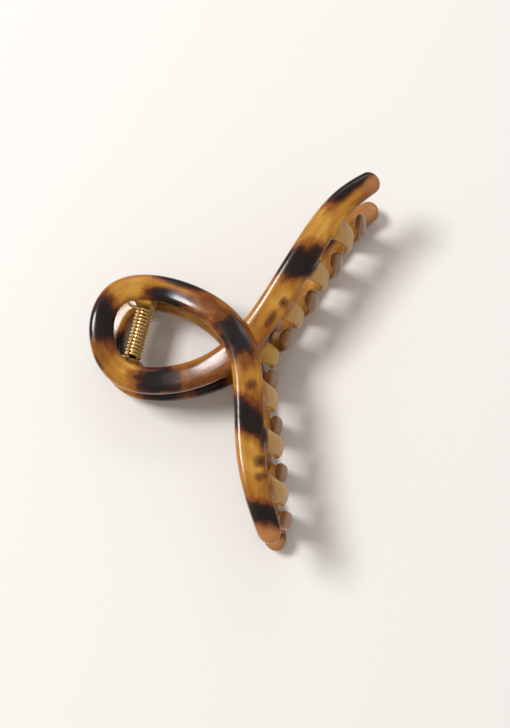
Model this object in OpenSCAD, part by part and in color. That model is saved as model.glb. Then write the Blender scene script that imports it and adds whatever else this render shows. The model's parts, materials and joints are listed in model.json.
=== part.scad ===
// Claw clip with looped jaws, lying closed on a flat surface.
// Each jaw is one moulded ribbon. From one arm's tip it runs in under the crossing, round a loop, and
// out over the crossing to the other arm's tip, with a row of curved teeth on its outer edge. The lower
// jaw's ribbon is the upper one's mirror image, and its teeth stand half a pitch along, so they interleave.
// +X runs from the loop to the teeth, +Y runs along the hinge pin, and +Z is up.
// The origin is on the resting surface, under the middle of the clip's box.

/* [Ribbon] */
// Width of the ribbon round the loop
loop_ribbon_w = 6.8; // [6:0.1:8]
// Width of the ribbon where the arms leave the crossing
arm_ribbon_w = 8.1; // [7:0.1:9]
// Width of the ribbon at the arms' tips
tip_ribbon_w = 6; // [5:0.1:7]
// Thickness of the ribbon
ribbon_t = 3.9; // [3:0.1:4.4]
// How far each strand rises or dips where the two cross
cross_lift = 1.8; // [1.5:0.05:1.9]

/* [Teeth] */
// Distance between two teeth of the same jaw
tooth_pitch = 12.3; // [12:0.1:13]
// Width of a tooth along the row
tooth_w = 5.6; // [5:0.1:5.8]
// Thickness of a tooth where it leaves the arm
tooth_root_t = 3.4; // [2.6:0.1:3.8]
// Thickness of a tooth near its tip
tooth_tip_t = 2; // [1.6:0.1:2.4]
// How far a tooth reaches past the plane between the jaws
tooth_reach = 4; // [2:0.1:5]

/* [Hinge] */
// Diameter of the hinge pin
pin_d = 2; // [1.6:0.1:2.2]
// Clearance round the pin in the upper jaw's lugs
pin_clearance = 0.05; // [0.02:0.01:0.1]
// Thickness of a hinge lug
lug_t = 1.8; // [1.4:0.1:1.9]
// Outer diameter of a hinge lug
lug_d = 5.2; // [4.6:0.1:5.4]

/* [Spring] */
// Diameter of the spring wire
wire_d = 0.95; // [0.7:0.05:1]
// Outer diameter of the coil
coil_d = 5.1; // [4.6:0.1:5.3]
// Number of turns of the coil
coil_turns = 13; // [9:1:14]

/* [Hidden] */

$fn = 48;
amber = [0.68, 0.42, 0.14];
dark_amber = [0.42, 0.22, 0.07];
gold = [0.85, 0.68, 0.34];

// Points that steer the upper jaw's ribbon, from the +Y arm's tip to the -Y arm's.
// Each is [x, y, height above the plane between the jaws, fall across the ribbon, ribbon width].
RIBBON = [
  [26.1, 54.7, 11.6, -0.25, tip_ribbon_w],
  [17.4, 45.7, 13.2, -0.25, arm_ribbon_w - 0.4],
  [11.2, 27.8, 12.6, -0.25, arm_ribbon_w],
  [5.2, 9.2, 11.0, -0.15, arm_ribbon_w],
  [-3.1, -4.6, 8.2, 0, arm_ribbon_w],
  [-16.2, -12.3, 5.8, 0.05, arm_ribbon_w - 0.4],
  [-29.1, -14.8, 5.4, 0, loop_ribbon_w + 0.5],
  [-36.9, -9.1, 7.4, -0.14, loop_ribbon_w],
  [-40.0, 1.0, 9.0, -0.16, loop_ribbon_w],
  [-37.3, 10.5, 7.4, -0.14, loop_ribbon_w],
  [-25.8, 13.5, 5.4, 0, loop_ribbon_w + 0.5],
  [-12.5, 11.1, 5.8, 0.05, arm_ribbon_w - 0.4],
  [-2.2, 5.2, 8.2, 0, arm_ribbon_w],
  [4.1, -4.5, 11.0, -0.15, arm_ribbon_w],
  [7.5, -17.6, 12.6, -0.25, arm_ribbon_w],
  [11.8, -32.9, 13.2, -0.25, arm_ribbon_w - 0.4],
  [21.7, -49.0, 11.6, -0.25, tip_ribbon_w],
];
last = len(RIBBON) - 1;
STEER = concat([2 * RIBBON[0] - RIBBON[1]], RIBBON, [2 * RIBBON[last] - RIBBON[last - 1]]);

under_at = 4;           // place along the ribbon where it passes under itself
over_at = 12;           // and where it passes over
cross_span = 2;         // length of the rise and of the fall each side of these
steps_per_point = 6;    // rings between two steering points
ring_sides = 16;        // points round the ribbon's section
squareness = 2.6;       // 2 makes the section an ellipse, more makes it squarer

axis_x = -30;           // the hinge axis, in the plane between the jaws
lying_tilt = 5.3;       // the closed clip leans on its loop end and on the belly of its arms
play = 0.3;             // gap between the two jaws' lugs and teeth

// ---- The ribbon's route ----

// Point on the smooth curve steered by the points, at t from 0 to last
function steer(t) =
  let (i = min(floor(t), last - 1), f = t - i)
  (pow(1 - f, 3) * STEER[i]
    + (3 * pow(f, 3) - 6 * f * f + 4) * STEER[i + 1]
    + (-3 * pow(f, 3) + 3 * f * f + 3 * f + 1) * STEER[i + 2]
    + pow(f, 3) * STEER[i + 3]) / 6;

function smooth(v) = let (c = max(0, min(1, v))) c * c * (3 - 2 * c);
function near(t, place) = smooth(1 - abs(t - place) / cross_span);

// The ribbon's middle line
function route(t) =
  let (p = steer(t))
  [p.x, p.y, p.z + cross_lift * (near(t, over_at) - near(t, under_at))];

function unit(v) = v / norm(v);

// Direction of travel along the ribbon
function heading(t) = unit(route(min(t + 0.01, last)) - route(max(t - 0.01, 0)));

// Direction across the ribbon, banked by the fall across it
function across(t) =
  let (d = heading(t), flat = unit([d.y, -d.x, 0]))
  unit([flat.x, flat.y, steer(t)[3] * flat.x]);

function power(v) = sign(v) * pow(abs(v), 2 / squareness);

// The section's closed ring of points at t; grow shrinks it towards an arm's rounded tip
function ring(t, grow) =
  let (c = route(t),
       w = across(t),
       n = unit(cross(w, heading(t))),
       half = steer(t)[4] / 2 * grow,
       thick = ribbon_t / 2 * sqrt(grow))
  [for (k = [0:ring_sides - 1])
    let (a = 360 * k / ring_sides)
    c + power(cos(a)) * half * w + power(sin(a)) * thick * n];

// The last stretch of each arm narrows to a rounded tip
tip_len = 0.2;
tip_steps = 4;
function tip_grow(t) =
  let (in = min(t, last - t, tip_len) / tip_len)
  sqrt(max(0.06, 1 - pow(1 - in, 2)));

TIP = [for (k = [0:tip_steps]) tip_len * (1 - cos(90 * k / tip_steps))];
STATIONS = concat(
  TIP,
  [for (i = [2:steps_per_point * last - 2]) i / steps_per_point],
  [for (k = [tip_steps:-1:0]) last - TIP[k]]);

// A closed solid through a list of rings
module skin(rings) {
  sides = len(rings[0]);
  rows = len(rings);
  points = [for (r = rings, p = r) p];
  walls = [for (r = [0:rows - 2], k = [0:sides - 1])
    let (a = r * sides + k, b = r * sides + (k + 1) % sides)
    each [[a, b, b + sides], [a, b + sides, a + sides]]];
  end = (rows - 1) * sides;
  caps = [for (k = [1:sides - 2]) each [[0, k + 1, k], [end, end + k, end + k + 1]]];
  polyhedron(points, concat(walls, caps), convexity = 6);
}

module ribbon() {
  skin([for (t = STATIONS) ring(t, tip_grow(t))]);
}

// ---- Teeth ----

// Place along the ribbon, between low and high, where the arm is at distance y along the row
function place_between(y, low, high, n = 24) =
  n == 0 ? (low + high) / 2
  : let (mid = (low + high) / 2)
    steer(mid).y > y ? place_between(y, mid, high, n - 1) : place_between(y, low, mid, n - 1);

function place_of(y) = y > crossing_y ? place_between(y, 0, under_at) : place_between(y, over_at, last);

crossing_y = 1.4;
tooth_steps = 10;
row_x = 9.4;          // outer face of the row of teeth beside the crossing
row_slope = 0.35;     // each way along, the row runs out to +X by this much of the distance
row_middle_y = 1.6;   // the upper jaw's middle tooth stands here
root_out = 2.2;       // a tooth starts this far out from the ribbon's middle line
tip_in = 2.6;         // and its tip curls back this far from the row's outer face

function bezier(f, a, b, c) = (1 - f) * (1 - f) * a + 2 * f * (1 - f) * b + f * f * c;

// A curved claw in the X-Z plane, from root to tip by way of bulge: out along one side and back
function claw_outline(root, bulge, tip) =
  let (knots = [for (i = [0:tooth_steps]) bezier(i / tooth_steps, root, bulge, tip)],
       sides = [for (i = [0:tooth_steps])
         let (f = i / tooth_steps,
              d = unit(knots[min(i + 1, tooth_steps)] - knots[max(i - 1, 0)]),
              half = (tooth_root_t * (1 - f) + tooth_tip_t * f) / 2 * (f > 0.95 ? 0.5 : 1))
         half * [-d.y, d.x]])
  concat([for (i = [0:tooth_steps]) knots[i] + sides[i]],
         [for (i = [tooth_steps:-1:0]) knots[i] - sides[i]]);

module tooth(y) {
  c = route(place_of(y));
  root = [c.x + root_out, c.z];
  face_x = row_x + row_slope * abs(y);
  tip = [face_x - tip_in, -tooth_reach];
  middle_x = face_x - (tooth_root_t + tooth_tip_t) / 4;
  bulge = [2 * middle_x - (root.x + tip.x) / 2, (root.y + tip.y) / 2];
  translate([0, y, 0])
    rotate([90, 0, 0])
      linear_extrude(tooth_w, center = true)
        polygon(claw_outline(root, bulge, tip));
}

// A row of evenly spaced teeth, its middle at row_middle_y
module teeth(count) {
  for (i = [0:count - 1]) tooth(row_middle_y + (i - (count - 1) / 2) * tooth_pitch);
}

// ---- Hinge ----

lug_inner_y = 7.6;                          // inner face of the inner lug
lug_outer_y = lug_inner_y + lug_t + play;   // inner face of the outer lug
lug_top = 6.4;                              // the lugs run up into the ribbon
shelf_low = 4.4;
shelf_end_y = 12;

// A round-ended ear about the hinge axis, from y1 to y1 + lug_t
module lug(y1) {
  translate([axis_x, y1 + lug_t, 0]) rotate([90, 0, 0]) cylinder(d = lug_d, h = lug_t);
  translate([axis_x - lug_d / 2, y1, 0]) cube([lug_d, lug_t, lug_top]);
}

// The inner lug hangs from a shelf that joins it to the ribbon
module lugs() {
  lug(lug_inner_y);
  translate([axis_x - lug_d / 2, lug_inner_y, shelf_low])
    cube([lug_d, shelf_end_y - lug_inner_y, lug_top - shelf_low]);
  lug(-lug_outer_y - lug_t);
}

module along_hinge(y_from, y_to, d) {
  translate([axis_x, y_to, 0]) rotate([90, 0, 0]) cylinder(d = d, h = y_to - y_from);
}

// ---- One jaw, in the clip's own planes, with the lugs given to it ----
module jaw(tooth_count, bore_d) {
  difference() {
    union() {
      ribbon();
      teeth(tooth_count);
      children();
    }
    along_hinge(-14, 14, bore_d);
  }
}

// ---- How the closed clip lies ----

// Height of a point of the upper ribbon, once it is mirrored to be the lower one and leans back
function lower_height(p) = p.x * sin(lying_tilt) - p.z * cos(lying_tilt);

rest_z = -min([for (t = STATIONS, p = ring(t, tip_grow(t))) lower_height(p)]);
rest_x = 7.45;      // these bring the middle of the clip's box over the origin
rest_y = -3.13;

// Places the clip's own planes above the resting surface
module lie() {
  translate([rest_x, rest_y, rest_z]) rotate([0, -lying_tilt, 0]) children();
}

// ---- Spring ----
coil_r = (coil_d - wire_d) / 2;
coil_end_y = lug_inner_y - play - wire_d / 2;   // middle of the last turn
coil_sweep = 360 * coil_turns + 180;            // the wire leaves above and below the pin
coil_steps = 12;                                // rings in one turn
wire_sides = 8;
leg_straight = 3.2;                             // the leg clears the lug before it spreads
leg_reach = 7.6;
leg_spread = 2.6;
leg_rise = 2.8;
leg_steps = 5;

// Middle of the wire along the turns; a runs from 0 to coil_sweep
function coil_point(a) =
  [axis_x + coil_r * cos(90 - a), coil_end_y * (1 - 2 * a / coil_sweep), coil_r * sin(90 - a)];

// Middle of one leg, from the coil out to its end under a ribbon; way is 1 above and -1 below the pin
function leg_point(f, way) =
  let (out = leg_reach * f, bend = smooth((out - leg_straight) / (leg_reach - leg_straight)))
  [axis_x - out, way * (coil_end_y + leg_spread * bend), way * (coil_r + leg_rise * f * f)];

WIRE = concat(
  [for (k = [leg_steps:-1:1]) leg_point(k / leg_steps, 1)],
  [for (k = [0:coil_steps * coil_sweep / 360]) coil_point(360 * k / coil_steps)],
  [for (k = [1:leg_steps]) leg_point(k / leg_steps, -1)]);

function wire_ring(k) =
  let (d = unit(WIRE[min(k + 1, len(WIRE) - 1)] - WIRE[max(k - 1, 0)]),
       n1 = unit(cross(d, [0, 1, 0])),
       n2 = cross(n1, d))
  [for (j = [0:wire_sides - 1])
    WIRE[k] + wire_d / 2 * (cos(360 * j / wire_sides) * n1 + sin(360 * j / wire_sides) * n2)];

// ---- Pin ----
head_d = 3.4;
head_t = 0.8;
peened_d = 2.7;
peened_t = 0.5;
lugs_end_y = lug_outer_y + lug_t;

// ---- The pieces, in their places ----
module front_jaw() {
  color(amber) lie() jaw(7, pin_d + 2 * pin_clearance) lugs();
}

module rear_jaw() {
  color(dark_amber) lie() mirror([0, 0, 1]) jaw(8, pin_d) mirror([0, 1, 0]) lugs();
}

// The head sits against the lower jaw's outer lug; the peened end stands clear of the upper jaw's
module hinge_pin() {
  color(gold) lie() {
    along_hinge(-lugs_end_y - play - peened_t, lugs_end_y + head_t, pin_d);
    along_hinge(lugs_end_y, lugs_end_y + head_t, head_d);
    along_hinge(-lugs_end_y - play - peened_t, -lugs_end_y - play, peened_d);
  }
}

module torsion_spring() {
  color(gold) lie() skin([for (k = [0:len(WIRE) - 1]) wire_ring(k)]);
}

front_jaw();
rear_jaw();
hinge_pin();
torsion_spring();
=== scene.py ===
"""A tortoiseshell claw clip with looped jaws, lying closed on a pale table.

The two jaws, the spring and the pin are rebuilt in finer mesh around the fixed frame. Lengths in the
jaws' own planes are millimetres, as their designer would state them, and become metres in place().
"""

import json
import math

import bmesh
import bpy
import numpy as np
from mathutils import Matrix, Vector


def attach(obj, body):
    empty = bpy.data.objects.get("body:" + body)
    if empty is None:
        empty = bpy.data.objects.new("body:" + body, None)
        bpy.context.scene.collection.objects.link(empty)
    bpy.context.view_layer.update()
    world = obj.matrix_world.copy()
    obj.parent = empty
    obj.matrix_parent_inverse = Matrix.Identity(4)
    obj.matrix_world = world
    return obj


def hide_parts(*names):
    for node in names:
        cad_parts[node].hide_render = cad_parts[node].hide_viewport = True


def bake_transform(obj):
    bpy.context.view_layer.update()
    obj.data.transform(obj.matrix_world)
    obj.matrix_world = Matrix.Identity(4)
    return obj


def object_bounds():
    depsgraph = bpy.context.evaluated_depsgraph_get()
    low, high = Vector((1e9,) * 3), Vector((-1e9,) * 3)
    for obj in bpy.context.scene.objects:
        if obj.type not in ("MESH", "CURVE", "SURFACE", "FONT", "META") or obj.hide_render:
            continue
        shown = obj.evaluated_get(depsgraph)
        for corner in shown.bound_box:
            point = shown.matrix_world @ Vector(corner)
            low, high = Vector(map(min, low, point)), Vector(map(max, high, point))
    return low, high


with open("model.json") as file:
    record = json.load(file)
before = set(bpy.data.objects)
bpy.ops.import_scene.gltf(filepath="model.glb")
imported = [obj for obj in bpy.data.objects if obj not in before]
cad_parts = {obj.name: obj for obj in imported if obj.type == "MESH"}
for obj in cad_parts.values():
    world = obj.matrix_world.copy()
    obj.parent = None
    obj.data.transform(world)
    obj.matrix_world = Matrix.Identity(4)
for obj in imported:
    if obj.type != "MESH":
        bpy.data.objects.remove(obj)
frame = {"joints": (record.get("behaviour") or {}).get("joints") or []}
cad_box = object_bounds()

MM = 0.001
HINGE = Vector(frame["joints"][0]["pos_m"])

# ---------------------------------------------------------------- the jaw's shape, in its own planes

LOOP_W, ARM_W, TIP_W = 6.8, 8.1, 6.0
RIBBON_T = 3.9
CROSS_LIFT = 1.8
# The ribbon from the +Y arm's tip, in under the crossing, round the loop and out over to the -Y tip.
# Each is x, y, height above the plane between the jaws, fall across the ribbon, ribbon width
RIBBON = np.array([
    (26.1, 54.7, 11.6, -0.25, TIP_W),
    (17.4, 45.7, 13.2, -0.25, ARM_W - 0.4),
    (11.2, 27.8, 12.6, -0.25, ARM_W),
    (5.2, 9.2, 11.0, -0.15, ARM_W),
    (-3.1, -4.6, 8.2, 0.0, ARM_W),
    (-16.2, -12.3, 5.8, 0.05, ARM_W - 0.4),
    (-29.1, -14.8, 5.4, 0.0, LOOP_W + 0.5),
    (-36.9, -9.1, 7.4, -0.14, LOOP_W),
    (-40.0, 1.0, 9.0, -0.16, LOOP_W),
    (-37.3, 10.5, 7.4, -0.14, LOOP_W),
    (-25.8, 13.5, 5.4, 0.0, LOOP_W + 0.5),
    (-12.5, 11.1, 5.8, 0.05, ARM_W - 0.4),
    (-2.2, 5.2, 8.2, 0.0, ARM_W),
    (4.1, -4.5, 11.0, -0.15, ARM_W),
    (7.5, -17.6, 12.6, -0.25, ARM_W),
    (11.8, -32.9, 13.2, -0.25, ARM_W - 0.4),
    (21.7, -49.0, 11.6, -0.25, TIP_W),
])
LAST = len(RIBBON) - 1
STEER = np.vstack([2 * RIBBON[0] - RIBBON[1], RIBBON, 2 * RIBBON[-1] - RIBBON[-2]])
UNDER_AT, LOOP_END_AT, OVER_AT, CROSS_SPAN, CROSSING_Y = 4.0, 8.0, 12.0, 2.0, 1.4
AXIS_X = -30.0
LYING_TILT = math.radians(5.3)
TOOTH_PITCH, TOOTH_W, TOOTH_ROOT_T, TOOTH_TIP_T, TOOTH_REACH = 12.3, 5.6, 3.4, 2.0, 4.0
ROW_X, ROW_SLOPE, ROW_MIDDLE_Y, ROOT_OUT, TIP_IN = 9.4, 0.35, 1.6, 2.2, 2.6
PIN_D, LUG_T, LUG_D, LUG_INNER_Y, PLAY = 2.0, 1.8, 5.2, 7.6, 0.3
BORE_D, BORE_END_Y = PIN_D + 0.2, 14
LUG_OUTER_Y = LUG_INNER_Y + LUG_T + PLAY
LUGS_END_Y = LUG_OUTER_Y + LUG_T
LUG_TOP, SHELF_LOW, SHELF_END_Y = 6.4, 4.4, 12.0
VOXEL = 0.3


def steer(t):
    """Point, bank and width of the ribbon at t, from 0 at the +Y arm's tip to LAST at the -Y arm's."""
    t = np.atleast_1d(np.asarray(t, float))
    i = np.minimum(t.astype(int), LAST - 1)
    f = (t - i)[:, None]
    return ((1 - f) ** 3 * STEER[i] + (3 * f ** 3 - 6 * f ** 2 + 4) * STEER[i + 1]
            + (-3 * f ** 3 + 3 * f ** 2 + 3 * f + 1) * STEER[i + 2] + f ** 3 * STEER[i + 3]) / 6


def smooth(v):
    c = np.clip(v, 0, 1)
    return c * c * (3 - 2 * c)


def unit(v):
    return v / np.linalg.norm(v, axis=-1, keepdims=True)


def near(t, place):
    return smooth(1 - np.abs(np.atleast_1d(t) - place) / CROSS_SPAN)


def route(t):
    """The ribbon's middle line, which dips under itself and later rises over itself at the crossing."""
    p = steer(t)
    return np.stack([p[:, 0], p[:, 1], p[:, 2] + CROSS_LIFT * (near(t, OVER_AT) - near(t, UNDER_AT))], 1)


def ribbon_frame(t):
    """Middle line, direction across to the right of travel, the ribbon's upward normal, and width."""
    t = np.asarray(t, float)
    d = unit(route(np.minimum(t + 0.01, LAST)) - route(np.maximum(t - 0.01, 0)))
    flat = unit(np.stack([d[:, 1], -d[:, 0], 0 * d[:, 0]], 1))
    s = steer(t)
    across = unit(np.stack([flat[:, 0], flat[:, 1], s[:, 3] * flat[:, 0]], 1))
    normal = unit(np.cross(across, d))
    return route(t), across, normal, s[:, 4]


def section(half, thick, squareness, sides):
    """A rounded rectangle's points, as (across, up) pairs."""
    a = np.arange(sides) * 2 * np.pi / sides
    power = lambda v: np.sign(v) * np.abs(v) ** (2 / squareness)
    return np.stack([power(np.cos(a)) * half, power(np.sin(a)) * thick], 1)


def skin(rings):
    """Vertices and faces of a closed tube through rings of points."""
    rows, sides = len(rings), len(rings[0])
    verts = np.concatenate(rings)
    faces = [(r * sides + k, r * sides + (k + 1) % sides,
              (r + 1) * sides + (k + 1) % sides, (r + 1) * sides + k)
             for r in range(rows - 1) for k in range(sides)]
    faces.append(tuple(range(sides - 1, -1, -1)))
    faces.append(tuple((rows - 1) * sides + k for k in range(sides)))
    return verts, faces


RIBBON_SIDES, RIBBON_SQUARENESS = 32, 3.2
TIP_LEN = 0.2


def ribbon():
    tip = TIP_LEN * (1 - np.cos(np.linspace(0.08, 1, 12) * np.pi / 2))
    stations = np.concatenate([tip, np.linspace(TIP_LEN, LAST - TIP_LEN, 400)[1:-1], LAST - tip[::-1]])
    mid, across, normal, width = ribbon_frame(stations)
    inside = np.minimum(np.minimum(stations, LAST - stations), TIP_LEN) / TIP_LEN
    grow = np.sqrt(np.clip(1 - (1 - inside) ** 2, 0.02, 1))
    rings = []
    for k in range(len(stations)):
        s = section(width[k] / 2 * grow[k], RIBBON_T / 2 * math.sqrt(grow[k]),
                    RIBBON_SQUARENESS, RIBBON_SIDES)
        rings.append(mid[k] + s[:, :1] * across[k] + s[:, 1:] * normal[k])
    return skin(rings)


def place_of(y):
    """Place along the ribbon where its arm is at distance y along the row of teeth."""
    low, high = (0.0, UNDER_AT) if y > CROSSING_Y else (OVER_AT, float(LAST))
    for _ in range(30):
        mid = (low + high) / 2
        if steer(mid)[0, 1] > y:
            low = mid
        else:
            high = mid
    return (low + high) / 2


def bezier(f, a, b, c):
    return (1 - f) ** 2 * a + 2 * f * (1 - f) * b + f ** 2 * c


TOOTH_STEPS, TOOTH_SIDES, TOOTH_SQUARENESS = 32, 24, 2.4
TOOTH_FLARE = 0.35      # the root is wider than the tooth by this much
TOOTH_TAPER = 0.1       # and the tip narrower by this much
ROUND_FROM = 0.86       # the tip is rounded off past this share of the length


def tooth(y):
    """One claw: its middle line curls down in the X-Z plane from a root that flares into the ribbon."""
    c = route(place_of(y))[0]
    root = np.array([c[0] + ROOT_OUT, c[2]])
    face_x = ROW_X + ROW_SLOPE * abs(y)
    tip = np.array([face_x - TIP_IN, -TOOTH_REACH])
    middle_x = face_x - (TOOTH_ROOT_T + TOOTH_TIP_T) / 4
    bulge = np.array([2 * middle_x - (root[0] + tip[0]) / 2, (root[1] + tip[1]) / 2])
    rings = []
    for i in range(TOOTH_STEPS + 1):
        f = i / TOOTH_STEPS
        before = bezier(max(f - 0.01, 0), root, bulge, tip)
        ahead = unit(bezier(min(f + 0.01, 1), root, bulge, tip) - before)
        x, z = bezier(f, root, bulge, tip)
        end = max(0.0, (f - ROUND_FROM) / (1 - ROUND_FROM))
        round_off = math.sqrt(max(0.03, 1 - end * end))
        half_w = TOOTH_W / 2 * (1 + TOOTH_FLARE * (1 - f) ** 4) * (1 - TOOTH_TAPER * f) * round_off
        half_t = (TOOTH_ROOT_T * (1 - f) + TOOTH_TIP_T * f) / 2 * math.sqrt(round_off)
        s = section(half_t, half_w, TOOTH_SQUARENESS, TOOTH_SIDES)
        out = np.array([-ahead[1], 0, ahead[0]])
        rings.append(np.array([x, y, z]) + s[:, :1] * out + s[:, 1:] * np.array([0, 1, 0]))
    return skin(rings)


def cylinder(y1, y2, d, sides=48):
    a = np.arange(sides) * 2 * np.pi / sides
    ring = lambda y: np.stack([AXIS_X + d / 2 * np.cos(a), np.full(sides, y), d / 2 * np.sin(a)], 1)
    return skin([ring(y1), ring(y2)])


def block(x1, x2, y1, y2, z1, z2):
    ring = lambda z: np.array([(x1, y1, z), (x2, y1, z), (x2, y2, z), (x1, y2, z)], float)
    return skin([ring(z1), ring(z2)])


def lugs(way):
    """The inner lug, on the side given by way, with the shelf that it hangs from, and the outer lug."""
    low, high = AXIS_X - LUG_D / 2, AXIS_X + LUG_D / 2
    for y1, y2 in ((LUG_INNER_Y, LUG_INNER_Y + LUG_T), (-LUG_OUTER_Y - LUG_T, -LUG_OUTER_Y)):
        y1, y2 = sorted((way * y1, way * y2))
        yield cylinder(y1, y2, LUG_D)
        yield block(low, high, y1, y2, 0, LUG_TOP)
    y1, y2 = sorted((way * LUG_INNER_Y, way * SHELF_END_Y))
    yield block(low, high, y1, y2, SHELF_LOW, LUG_TOP)


# ---------------------------------------------------------------- from the jaw's planes to the row frame

def place(points, lower=False):
    """Millimetres in the jaw's planes to metres in the row frame; the lower jaw is mirrored in height."""
    p = np.asarray(points, float)
    if lower:
        p = p * (1, 1, -1)
    c, s = math.cos(LYING_TILT), math.sin(LYING_TILT)
    x, z = p[:, 0] - AXIS_X, p[:, 2]
    return np.stack([x * c - z * s, p[:, 1], x * s + z * c], 1) * MM + np.array(HINGE)


def unplace(points, lower=False):
    p = (np.asarray(points, float) - np.array(HINGE)) / MM
    c, s = math.cos(LYING_TILT), math.sin(LYING_TILT)
    q = np.stack([p[:, 0] * c + p[:, 2] * s + AXIS_X, p[:, 1], -p[:, 0] * s + p[:, 2] * c], 1)
    return q * (1, 1, -1) if lower else q


def new_object(name, verts, faces):
    mesh = bpy.data.meshes.new(name)
    mesh.from_pydata([tuple(v) for v in verts], [], faces)
    mesh.validate()
    obj = bpy.data.objects.new(name, mesh)
    bpy.context.scene.collection.objects.link(obj)
    return obj


def outward(obj):
    """Turns every face of a closed mesh outwards."""
    bm = bmesh.new()
    bm.from_mesh(obj.data)
    bmesh.ops.recalc_face_normals(bm, faces=bm.faces)
    bm.to_mesh(obj.data)
    bm.free()


def apply_modifiers(obj):
    depsgraph = bpy.context.evaluated_depsgraph_get()
    mesh = bpy.data.meshes.new_from_object(obj.evaluated_get(depsgraph))
    obj.modifiers.clear()
    old = obj.data
    obj.data = mesh
    bpy.data.meshes.remove(old)


def join_parts(name, parts, lower=False):
    verts, faces, base = [], [], 0
    for v, f in parts:
        verts.append(place(v, lower))
        faces += [tuple(base + i for i in face) for face in f]
        base += len(v)
    obj = new_object(name, np.concatenate(verts), faces)
    outward(obj)
    return obj


def jaw(name, tooth_count, lower):
    """One moulding: ribbon, row of teeth and lugs melted together, with the pin's bores."""
    parts = [ribbon()]
    parts += [tooth(ROW_MIDDLE_Y + (i - (tooth_count - 1) / 2) * TOOTH_PITCH) for i in range(tooth_count)]
    parts += list(lugs(-1 if lower else 1))
    obj = join_parts(name, parts, lower)
    remesh = obj.modifiers.new("melt", "REMESH")
    remesh.mode = "VOXEL"
    remesh.voxel_size = VOXEL * MM
    soften = obj.modifiers.new("soften", "SMOOTH")
    soften.factor = 0.5
    soften.iterations = 5
    apply_modifiers(obj)
    cutter = join_parts(name + "_bore", [cylinder(-BORE_END_Y, BORE_END_Y, BORE_D, 64)], lower)
    bore = obj.modifiers.new("bore", "BOOLEAN")
    bore.operation, bore.object, bore.solver = "DIFFERENCE", cutter, "MANIFOLD"
    apply_modifiers(obj)
    bpy.data.objects.remove(cutter)
    obj.data.shade_smooth()
    return obj


# ---------------------------------------------------------------- where the dark patches lie

# q is the distance along the ribbon from the loop's closed end, positive on the strand that passes over
# and negative on the other; out is the distance from the ribbon's middle towards its toothed edge.
# Each patch is q, out, half length, half width, lean (change of q with out).
FRONT_PATCHES = (
    (-1.0, 0.0, 5.6, 5.5, 0.0),      # loop's closed end
    (23.5, -2.3, 6.6, 2.0, 0.0),     # loop, upper strand, inner half
    (25.6, 3.2, 5.2, 1.2, 0.0),      # and its outer edge
    (48.5, -0.2, 6.6, 3.3, 0.0),     # top of the crossing
    (72.3, 0.0, 4.6, 5.5, 0.7),      # middle of the over strand's arm
    (97.2, 0.0, 2.9, 5.5, 0.5),      # near that arm's tip
    (-28.0, 0.0, 5.8, 4.0, 0.2),     # loop, lower strand
    (-81.0, 0.1, 5.0, 5.0, 0.5),     # middle of the under strand's arm
    (-106.0, -2.5, 7.0, 1.8, 0.0),   # outer edge by that arm's tip
)
FRONT_SPECKS = (
    (62.8, 0.6, 1.4, 1.6, 0.0),
    (83.7, 2.1, 1.4, 1.5, 0.0),
    (87.6, 1.7, 1.1, 1.6, 0.0),
    (-69.6, 2.2, 1.3, 1.0, 0.0),
    (-64.2, 1.8, 2.6, 1.0, 0.0),
    (-12.0, 3.2, 2.0, 0.7, 0.0),
)
FRONT_GLOW = (
    (11.0, 0.5, 6.0, 4.5, 0.0),
    (-93.0, 0.5, 6.5, 5.0, 0.0),
    (-71.0, -0.5, 4.5, 4.5, 0.0),
    (84.0, -1.0, 7.0, 4.0, 0.0),
    (61.0, 0.5, 4.0, 4.0, 0.0),
    (-16.0, -1.5, 5.0, 2.5, 0.0),
)
FRONT_EMBER = (
    (36.0, 0.0, 6.0, 5.0, 0.0),
    (-41.0, 1.0, 7.0, 5.0, 0.0),
    (-9.5, 0.0, 3.5, 5.0, 0.0),
    (101.5, 0.0, 2.2, 5.0, 0.3),
    (-111.0, 1.0, 3.0, 3.0, 0.0),
)
REAR_PATCHES = (
    (-6.0, 0.0, 5.0, 5.5, 0.2),
    (18.0, 2.0, 5.0, 2.6, 0.4),
    (40.0, 3.4, 5.0, 2.2, 0.0),
    (64.0, -1.5, 5.2, 3.0, 0.5),
    (86.0, -1.0, 4.6, 4.0, -0.4),
    (99.0, 1.0, 3.0, 5.0, 0.2),
    (-27.0, 1.5, 5.0, 3.0, 0.3),
    (-40.0, 3.0, 4.5, 2.0, 0.0),
    (-62.0, -1.5, 5.0, 3.2, 0.4),
    (-97.0, -2.2, 4.8, 2.2, -0.4),
)
REAR_SPECKS = ((50.0, 1.0, 1.6, 1.2, 0.0), (76.0, 2.0, 1.4, 1.4, 0.0), (-60.0, -2.0, 1.6, 1.2, 0.0))
REAR_GLOW = ((26.0, 0.0, 6.0, 4.0, 0.0), (-84.0, 0.0, 6.0, 5.0, 0.0), (-15.0, 0.0, 5.0, 4.0, 0.0))
REAR_EMBER = ((54.0, 0.0, 7.0, 5.0, 0.0), (-36.0, 0.0, 6.0, 5.0, 0.0))


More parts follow.
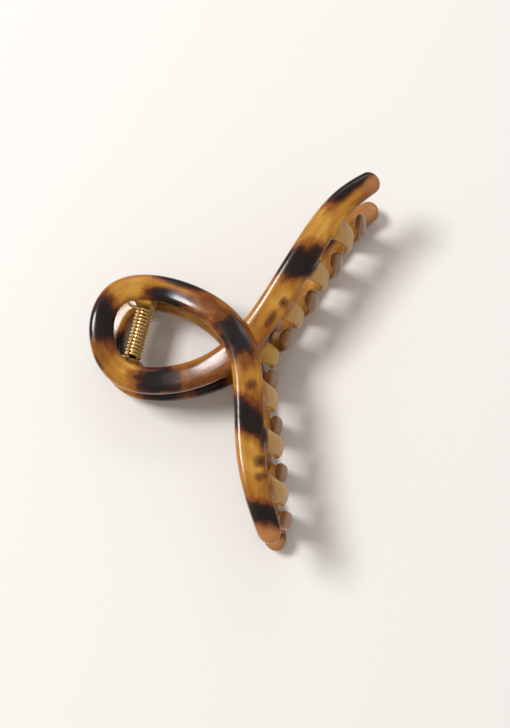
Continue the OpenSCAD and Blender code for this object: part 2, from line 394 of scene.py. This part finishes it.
def ribbon_place(points):
    """For each point of a jaw: q, out, height over the ribbon's middle, and how far off the ribbon."""
    t = np.linspace(0, LAST, 900)
    mid, across, normal, width = ribbon_frame(t)
    along = np.concatenate([[0], np.cumsum(np.linalg.norm(np.diff(mid, axis=0), axis=1))])
    along -= np.interp(LOOP_END_AT, t, along)
    ahead = unit(np.cross(normal, across))
    found = []
    for start in range(0, len(points), 4000):
        gap = points[start:start + 4000, None, :] - mid[None]
        # distance in the section's own stretch, so that a point goes to the strand that holds it
        side_way = np.einsum("ijk,jk->ij", gap, across)
        up_way = np.einsum("ijk,jk->ij", gap, normal)
        ahead_way = np.einsum("ijk,jk->ij", gap, ahead)
        far = (side_way * RIBBON_T / width) ** 2 + up_way ** 2 + 4 * ahead_way ** 2
        j = far.argmin(1)
        rows = np.arange(len(j))
        out, up = -side_way[rows, j], up_way[rows, j]
        off = np.maximum(np.abs(out) - width[j] / 2, 0) + np.maximum(np.abs(up) - RIBBON_T / 2, 0)
        found.append(np.stack([along[j], out, up, off], 1))
    return np.concatenate(found)


def field(q, out, patches):
    """How far each point lies from the nearest patch: 0 at a middle, 1 on an edge."""
    nearest = np.full(len(q), 9.0)
    for centre, middle, half_len, half_width, lean in patches:
        dq = (q - centre - lean * np.sign(centre) * (out - middle)) / half_len
        do = (out - middle) / half_width
        nearest = np.minimum(nearest, (np.abs(dq) ** 2.4 + np.abs(do) ** 2.4) ** (1 / 2.4))
    return nearest


def store(obj, name, values, kind="FLOAT"):
    attribute = obj.data.attributes.new(name, kind, "POINT")
    key = "vector" if kind == "FLOAT_VECTOR" else "value"
    attribute.data.foreach_set(key, np.ascontiguousarray(values, np.float32).ravel())


PALE_TIP_LEN, PALE_TIP_BLEND = 9, 7     # each arm's end turns pale over its last millimetres
TOOTH_BLEND = 1.6                       # the teeth's own colour comes in this far off the ribbon


def mark_ribbon(obj, lower, patches, specks, glow, ember):
    points = np.empty(len(obj.data.vertices) * 3)
    obj.data.vertices.foreach_get("co", points)
    q, out, up, off = ribbon_place(unplace(points.reshape(-1, 3), lower)).T
    store(obj, "grain_place", np.stack([q, out, up], 1), "FLOAT_VECTOR")
    store(obj, "patch", field(q, out, patches))
    store(obj, "speck", field(q, out, specks))
    store(obj, "glow", field(q, out, glow))
    store(obj, "ember", field(q, out, ember))
    to_tip = np.minimum(q - q.min(), q.max() - q)
    store(obj, "tip", smooth((PALE_TIP_LEN - to_tip) / PALE_TIP_BLEND))
    store(obj, "tooth", smooth(off / TOOTH_BLEND))


# ---------------------------------------------------------------- materials

class Nodes:
    """Short words for building one material's node tree."""

    def __init__(self, name):
        self.material = bpy.data.materials.new(name)
        self.material.use_nodes = True
        self.tree = self.material.node_tree
        self.shader = self.tree.nodes["Principled BSDF"]

    def add(self, kind, **values):
        node = self.tree.nodes.new(kind)
        for key, value in values.items():
            setattr(node, key, value)
        return node

    def link(self, a, b):
        self.tree.links.new(a, b)

    def attribute(self, name, output="Fac"):
        return self.add("ShaderNodeAttribute", attribute_name=name).outputs[output]

    def math(self, operation, a, b=0.0, clamp=False):
        node = self.add("ShaderNodeMath", operation=operation, use_clamp=clamp)
        for socket, value in zip(node.inputs, (a, b)):
            if isinstance(value, (int, float)):
                socket.default_value = value
            else:
                self.link(value, socket)
        return node.outputs[0]

    def ramp(self, value, stops):
        node = self.add("ShaderNodeValToRGB")
        node.color_ramp.interpolation = "EASE"
        elements = node.color_ramp.elements
        while len(elements) < len(stops):
            elements.new(0.5)
        for element, (position, colour) in zip(elements, stops):
            element.position = position
            element.color = (*colour, 1) if len(colour) == 3 else colour
        self.link(value, node.inputs[0])
        return node.outputs[0]

    def spread(self, value, low, high, to_low=0.0, to_high=1.0):
        node = self.add("ShaderNodeMapRange", interpolation_type="SMOOTHSTEP")
        for socket, number in zip(node.inputs[1:5], (low, high, to_low, to_high)):
            socket.default_value = number
        self.link(value, node.inputs[0])
        return node.outputs[0]

    def mix(self, factor, a, b, blend="MIX"):
        node = self.add("ShaderNodeMix", data_type="RGBA", blend_type=blend)
        for socket, value in ((node.inputs[0], factor), (node.inputs[6], a), (node.inputs[7], b)):
            if isinstance(value, (int, float)):
                socket.default_value = value
            elif isinstance(value, tuple):
                socket.default_value = (*value, 1)
            else:
                self.link(value, socket)
        return node.outputs[2]

    def noise(self, vector, scale, detail=3.0, roughness=0.5, stretch=(1, 1, 1), distortion=0.0):
        mapping = self.add("ShaderNodeMapping")
        mapping.inputs["Scale"].default_value = stretch
        self.link(vector, mapping.inputs["Vector"])
        node = self.add("ShaderNodeTexNoise")
        node.inputs["Scale"].default_value = scale
        node.inputs["Detail"].default_value = detail
        node.inputs["Roughness"].default_value = roughness
        node.inputs["Distortion"].default_value = distortion
        self.link(mapping.outputs[0], node.inputs["Vector"])
        return node.outputs["Fac"]


def tortoiseshell(name, tooth_tone_and_painted_shade, painted_shade_factor):
    """Polished amber acetate with soft near-black patches and streaks along the ribbon; the darker copy
    of it for the rear jaw is painted shade.
    """
    n = Nodes(name)
    grain = n.attribute("grain_place", "Vector")
    broad = n.noise(grain, 0.11, 2, 0.5, (1, 1.6, 1.6), 0.4)
    streak = n.noise(grain, 0.55, 4, 0.55, (0.16, 1.4, 1.4), 0.3)
    fine = n.noise(grain, 1.6, 3, 0.6, (0.12, 1.5, 1.5))
    wobble = n.noise(grain, 0.30, 2, 0.45, (0.8, 1, 1))

    # amber between a deep orange and a bright honey
    glow = n.spread(n.attribute("glow"), 0.3, 1.5, 0.34, 0.0)
    ember = n.spread(n.attribute("ember"), 0.3, 1.5, 0.30, 0.0)
    tone = n.math("ADD", n.spread(broad, 0.3, 0.7, 0.22, 0.62), glow)
    tone = n.math("SUBTRACT", tone, ember)
    tone = n.math("ADD", tone, n.spread(streak, 0.3, 0.7, -0.11, 0.11))
    tone = n.math("ADD", tone, n.spread(fine, 0.3, 0.7, -0.05, 0.05), clamp=True)
    amber = n.ramp(tone, ((0.0, (0.150, 0.040, 0.003)), (0.3, (0.275, 0.095, 0.006)),
                          (0.6, (0.410, 0.175, 0.017)), (1.0, (0.570, 0.305, 0.050))))
    # the teeth take their own tone here; for the rear jaw this darker tone is painted shade
    amber = n.mix(n.math("MULTIPLY", n.attribute("tooth"), 0.85), amber, tooth_tone_and_painted_shade)
    amber = n.mix(n.math("MULTIPLY", n.attribute("tip"), 0.75), amber, (0.44, 0.20, 0.075))

    # patches, with a wandering edge and a red-brown halo
    edge = n.math("ADD", n.attribute("patch"), n.spread(wobble, 0.25, 0.75, -0.22, 0.22))
    edge = n.math("ADD", edge, n.math("MULTIPLY", n.attribute("tooth"), 1.1))
    edge = n.math("ADD", edge, n.spread(streak, 0.3, 0.7, -0.04, 0.04))
    dark = n.ramp(n.math("MULTIPLY", edge, 0.5),
                  ((0.0, (0.012, 0.007, 0.006)), (0.34, (0.020, 0.009, 0.006)),
                   (0.46, (0.15, 0.060, 0.03)), (0.60, (0.62, 0.46, 0.36)), (0.80, (1, 1, 1))))
    speck_edge = n.math("ADD", n.attribute("speck"), n.spread(wobble, 0.25, 0.75, -0.3, 0.3))
    speck = n.ramp(n.math("MULTIPLY", speck_edge, 0.5),
                   ((0.0, (0.16, 0.13, 0.12)), (0.3, (0.40, 0.33, 0.30)), (0.75, (1, 1, 1))))
    colour = n.mix(1.0, n.mix(1.0, amber, dark, "MULTIPLY"), speck, "MULTIPLY")
    # the whole colour is scaled down here for the rear jaw as painted shade
    colour = n.mix(1.0, colour, (painted_shade_factor,) * 3, "MULTIPLY")
    n.link(colour, n.shader.inputs["Base Color"])

    # a hand-polished gloss: faint waves, and finer scuffs that the polish left
    texture = n.add("ShaderNodeTexCoord").outputs["Object"]
    wave = n.noise(texture, 130, 2, 0.5)
    scuff = n.noise(grain, 3.2, 4, 0.65, (0.2, 1.6, 1.6))
    rough = n.math("ADD", n.spread(wave, 0.3, 0.7, 0.17, 0.25), n.spread(scuff, 0.5, 0.8, 0.0, 0.09))
    n.link(rough, n.shader.inputs["Roughness"])
    bump = n.add("ShaderNodeBump")
    bump.inputs["Strength"].default_value = 0.12
    bump.inputs["Distance"].default_value = 0.00012
    n.link(n.math("ADD", wave, n.math("MULTIPLY", scuff, 0.18)), bump.inputs["Height"])
    n.link(bump.outputs[0], n.shader.inputs["Normal"])

    s = n.shader.inputs
    s["IOR"].default_value = 1.5
    s["Subsurface Weight"].default_value = 0.35
    s["Subsurface Radius"].default_value = (1.0, 0.45, 0.12)
    s["Subsurface Scale"].default_value = 0.0022
    s["Specular IOR Level"].default_value = 0.38
    s["Coat Weight"].default_value = 0.15
    s["Coat Roughness"].default_value = 0.08
    return n.material


def gold(name, colour, dark):
    """Thin gold plate over drawn wire: bright, with faint draw lines and duller hollows."""
    n = Nodes(name)
    texture = n.add("ShaderNodeTexCoord").outputs["Object"]
    cloud = n.noise(texture, 900, 3, 0.5)
    line = n.noise(texture, 2600, 3, 0.6, (0.25, 1, 1))
    n.link(n.mix(n.spread(cloud, 0.35, 0.7), colour, dark), n.shader.inputs["Base Color"])
    n.link(n.math("ADD", n.spread(cloud, 0.3, 0.7, 0.16, 0.26), n.spread(line, 0.4, 0.7, 0.0, 0.08)),
           n.shader.inputs["Roughness"])
    bump = n.add("ShaderNodeBump")
    bump.inputs["Strength"].default_value = 0.15
    bump.inputs["Distance"].default_value = 0.00003
    n.link(line, bump.inputs["Height"])
    n.link(bump.outputs[0], n.shader.inputs["Normal"])
    n.shader.inputs["Metallic"].default_value = 1.0
    return n.material


def dress(obj, material):
    obj.data.materials.clear()
    obj.data.materials.append(material)


# ---------------------------------------------------------------- spring and pin

WIRE_D, COIL_D, COIL_TURNS = 0.95, 5.1, 13
COIL_R = (COIL_D - WIRE_D) / 2
COIL_END_Y = LUG_INNER_Y - PLAY - WIRE_D / 2
COIL_SWEEP = 2 * math.pi * COIL_TURNS + math.pi
LEG_STRAIGHT, LEG_REACH, LEG_SPREAD, LEG_RISE = 3.2, 7.6, 2.6, 2.8
STEPS_PER_TURN, LEG_STEPS, WIRE_SIDES = 30, 16, 14


def wire_path():
    """Middle of the wire: the upper jaw's leg, the turns round the pin, and the lower jaw's leg."""
    def leg(f, way):
        reach = LEG_REACH * f
        bend = float(smooth((reach - LEG_STRAIGHT) / (LEG_REACH - LEG_STRAIGHT)))
        return (AXIS_X - reach, way * (COIL_END_Y + LEG_SPREAD * bend),
                way * (COIL_R + LEG_RISE * f * f))
    steps = int(STEPS_PER_TURN * COIL_SWEEP / (2 * math.pi))
    turns = []
    for k in range(steps + 1):
        a = COIL_SWEEP * k / steps
        turns.append((AXIS_X + COIL_R * math.cos(math.pi / 2 - a), COIL_END_Y * (1 - 2 * k / steps),
                      COIL_R * math.sin(math.pi / 2 - a)))
    shares = [k / LEG_STEPS for k in range(1, LEG_STEPS + 1)]
    upper_leg = [leg(f, 1) for f in reversed(shares)]
    lower_leg = [leg(f, -1) for f in shares]
    return np.array(upper_leg + turns + lower_leg)


def spring():
    path = wire_path()
    ahead = unit(np.gradient(path, axis=0))
    n1 = unit(np.cross(ahead, (0, 1, 0)))
    n2 = np.cross(n1, ahead)
    a = np.arange(WIRE_SIDES) * 2 * np.pi / WIRE_SIDES
    grow = np.ones(len(path))
    grow[[0, -1]] = 0.8
    rings = [path[k] + WIRE_D / 2 * grow[k] * (np.cos(a)[:, None] * n1[k] + np.sin(a)[:, None] * n2[k])
             for k in range(len(path))]
    obj = join_parts("spring_wire", [skin(rings)])
    obj.data.shade_smooth()
    return obj


def turned_piece(name, profile, sides=64):
    """A solid of revolution about the hinge axis, through (y, radius) points."""
    a = np.arange(sides) * 2 * np.pi / sides
    rings = [np.stack([AXIS_X + r * np.cos(a), np.full(sides, y), r * np.sin(a)], 1)
             for y, r in profile]
    obj = join_parts(name, [skin(rings)])
    obj.data.shade_smooth()
    return obj


def pin():
    """Pin with a domed head at +Y and a peened end at -Y."""
    r, head, end = PIN_D / 2 - 0.02, LUGS_END_Y, -LUGS_END_Y - PLAY
    profile = [(end - 0.5, 0.3), (end - 0.46, 0.85), (end - 0.3, 1.25), (end - 0.1, 1.35),
               (end, 1.3), (end + 0.02, r), (head + 0.01, r), (head + 0.02, 1.6),
               (head + 0.12, 1.7), (head + 0.5, 1.66), (head + 0.72, 1.35), (head + 0.8, 0.7),
               (head + 0.8, 0.1)]
    return turned_piece("hinge_pin_turned", profile)


# ---------------------------------------------------------------- build

FRONT_TEETH, REAR_TEETH = 7, 8
front = jaw("front_jaw_moulding", FRONT_TEETH, False)
rear = jaw("rear_jaw_moulding", REAR_TEETH, True)
mark_ribbon(front, False, FRONT_PATCHES, FRONT_SPECKS, FRONT_GLOW, FRONT_EMBER)
mark_ribbon(rear, True, REAR_PATCHES, REAR_SPECKS, REAR_GLOW, REAR_EMBER)
dress(front, tortoiseshell("tortoiseshell_front", (0.56, 0.31, 0.045), 1.0))
# the rear jaw gets a shaded copy of the same acetate: its darker tooth tone and 0.9 scale are painted
# shade
dress(rear, tortoiseshell("tortoiseshell_rear", (0.27, 0.105, 0.010), 0.9))

wire = spring()
rod = pin()
dress(wire, gold("gold_spring", (0.86, 0.63, 0.30), (0.62, 0.42, 0.17)))
dress(rod, gold("gold_pin", (0.84, 0.66, 0.38), (0.60, 0.45, 0.22)))

for piece, body, node, slot in (
        (front, "front_jaw", "front_jaw", "tortoiseshell_front"),
        (rear, "rear_jaw", "rear_jaw", "tortoiseshell_rear"),
        (rod, "rear_jaw", "hinge_pin", "gold_pin")):
    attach(piece, body)
    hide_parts(node)

coil_low = place([(AXIS_X, -COIL_END_Y, 0)])[0]
coil_high = place([(AXIS_X, COIL_END_Y, 0)])[0]
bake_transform(wire)
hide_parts("torsion_spring")

# ---------------------------------------------------------------- table, light and camera


def floor():
    obj = new_object("table", [(-2, -2, 0), (2, -2, 0), (2, 2, 0), (-2, 2, 0)], [(0, 1, 2, 3)])
    n = Nodes("table_card")
    texture = n.add("ShaderNodeTexCoord").outputs["Object"]
    n.link(n.mix(n.noise(texture, 700, 4, 0.6), (0.84, 0.825, 0.81), (0.86, 0.845, 0.83)),
           n.shader.inputs["Base Color"])
    n.shader.inputs["Roughness"].default_value = 0.75
    n.shader.inputs["Specular IOR Level"].default_value = 0.2
    dress(obj, n.material)


def softbox(name, target, direction, elevation, distance, size, power, colour=(1, 1, 1)):
    """An area light aimed at target; direction is the compass way it stands in, from +X, in degrees."""
    a, e = math.radians(direction), math.radians(elevation)
    away = Vector((math.cos(a) * math.cos(e), math.sin(a) * math.cos(e), math.sin(e)))
    data = bpy.data.lights.new(name, "AREA")
    data.shape, data.size, data.size_y = "RECTANGLE", size[0], size[1]
    data.energy, data.color = power, colour
    obj = bpy.data.objects.new(name, data)
    obj.location = Vector(target) + away * distance
    obj.rotation_mode = "QUATERNION"
    obj.rotation_quaternion = (-away).to_track_quat("-Z", "Y")
    bpy.context.scene.collection.objects.link(obj)


def sky(strength, colour):
    world = bpy.data.worlds.new("studio")
    world.use_nodes = True
    background = world.node_tree.nodes["Background"]
    background.inputs["Color"].default_value = (*colour, 1)
    background.inputs["Strength"].default_value = strength
    bpy.context.scene.world = world


def camera(target, azimuth, elevation, roll, distance, lens):
    """Azimuth 0 looks along +Y; roll turns the camera about its own line of sight, in degrees."""
    a, e = math.radians(azimuth), math.radians(elevation)
    ahead = Vector((math.sin(a) * math.cos(e), math.cos(a) * math.cos(e), -math.sin(e)))
    data = bpy.data.cameras.new("camera")
    data.sensor_width, data.lens = 36, lens
    data.clip_start, data.clip_end = 0.01, 10
    obj = bpy.data.objects.new("camera", data)
    right = ahead.cross(Vector((0, 0, 1))).normalized()
    up = right.cross(ahead)
    turn = Matrix.Rotation(math.radians(roll), 3, ahead)
    right, up = turn @ right, turn @ up
    obj.matrix_world = Matrix.Translation(Vector(target) - ahead * distance) @ Matrix(
        (right, up, -ahead)).transposed().to_4x4()
    bpy.context.scene.collection.objects.link(obj)
    bpy.context.scene.camera = obj


floor()
middle = (cad_box[0] + cad_box[1]) / 2
softbox("key", middle, 175, 56, 1.5, (0.44, 0.44), 17.5, (1.0, 0.99, 0.985))
softbox("top_strip", middle, 95, 48, 0.9, (0.5, 0.2), 0.7)
sky(0.45, (1.0, 0.93, 0.86))
camera((0.01153, -0.00462, 0.016), -12.12, 78.69, -1.68, 0.36363, 65.07)
bpy.context.scene.view_settings.view_transform = "Standard"
